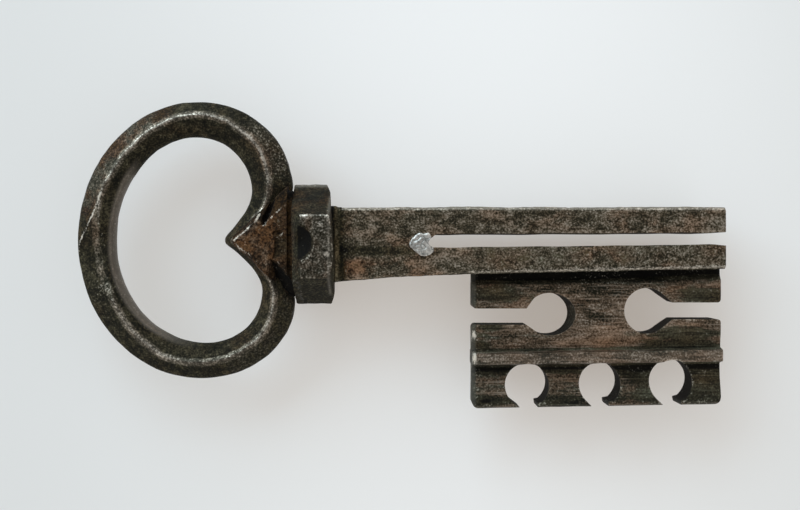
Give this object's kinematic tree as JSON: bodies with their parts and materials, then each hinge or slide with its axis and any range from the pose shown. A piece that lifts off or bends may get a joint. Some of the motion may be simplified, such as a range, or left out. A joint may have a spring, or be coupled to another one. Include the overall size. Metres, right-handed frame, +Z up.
{
  "type": "key",
  "caption": "Old forged iron gate key: kidney bow with a cusp, wedge neck, hexagonal collar, square shank split from its tip, and a profiled bit with round ward cuts.",
  "frame": {"origin": "middle of the underside of the bounding box of the key as it lies on its side, level with the lower facet of the collar", "axes": "+X along the shank towards its tip, +Y across the shank away from the bit, +Z up, out of the face that the picture shows"},
  "size_m": [0.1276, 0.0606, 0.0209],
  "materials": {
    "forged_iron": "forged, dark brown-grey patina, worn at the edges",
    "filed_iron": "filed along its length, brown patina",
    "worn_iron": "rubbed bright on its flats",
    "brazing_brass": "dull and darkened",
    "tin_solder": "wrinkled and bright"
  },
  "bodies": {
    "root": {"bow_ring": "forged_iron", "neck": "forged_iron", "bow_braze": "brazing_brass", "collar": "worn_iron", "collar_braze": "brazing_brass", "shank": "forged_iron", "bit": "filed_iron", "bit_braze": "brazing_brass", "slot_end_solder": "tin_solder"}
  },
  "joints": []
}
